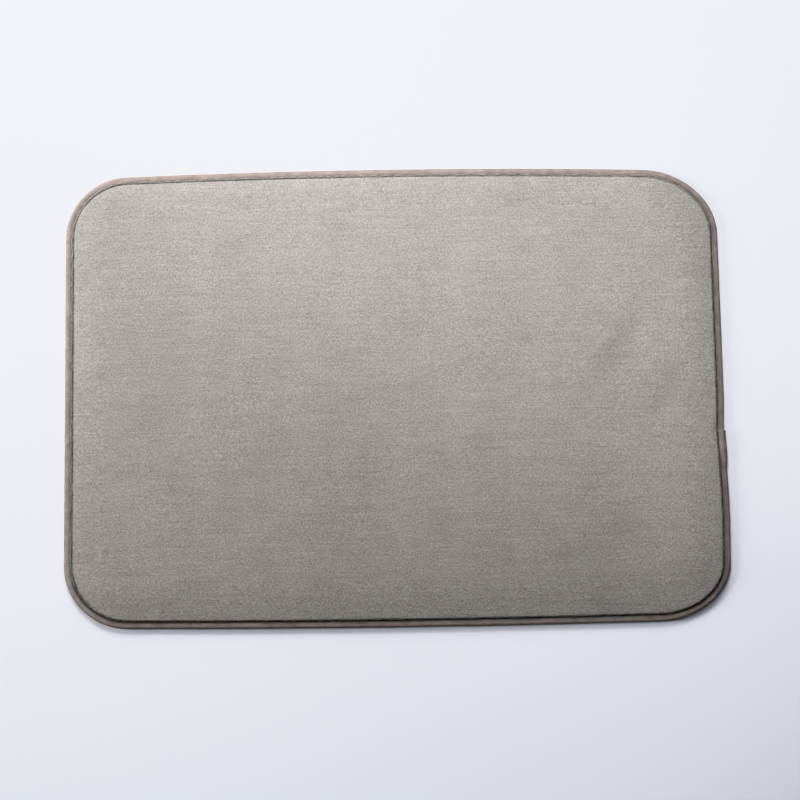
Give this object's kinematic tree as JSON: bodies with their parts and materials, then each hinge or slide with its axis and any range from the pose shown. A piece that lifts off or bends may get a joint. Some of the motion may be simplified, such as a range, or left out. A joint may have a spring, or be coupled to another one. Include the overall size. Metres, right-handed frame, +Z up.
{
  "type": "bath mat",
  "caption": "Rectangular memory-foam bath mat with a short plush face, rounded corners, a crowned edge and stitched tape binding round the rim.",
  "frame": {"origin": "on the surface that the mat lies on, below the middle of the mat", "axes": "+X along the mat's length, towards the side where the binding tape's ends meet; +Y towards its back long side; +Z up out of the plush face"},
  "size_m": [0.61, 0.432, 0.012],
  "materials": {
    "plush_face": "short dense brushed pile, matt with a soft sheen",
    "foam_core": "open-cell memory foam",
    "base_cloth": "thin knitted cloth with printed soft plastic grip dots",
    "edge_binding": "knitted polyester tape, matt with a fine rib",
    "seam_thread": "spun polyester sewing thread"
  },
  "bodies": {
    "root": {"plush_face": "plush_face", "foam_core": "foam_core", "base_cloth": "base_cloth", "edge_binding": "edge_binding", "needle_thread": "seam_thread", "bobbin_thread": "seam_thread"}
  },
  "joints": []
}
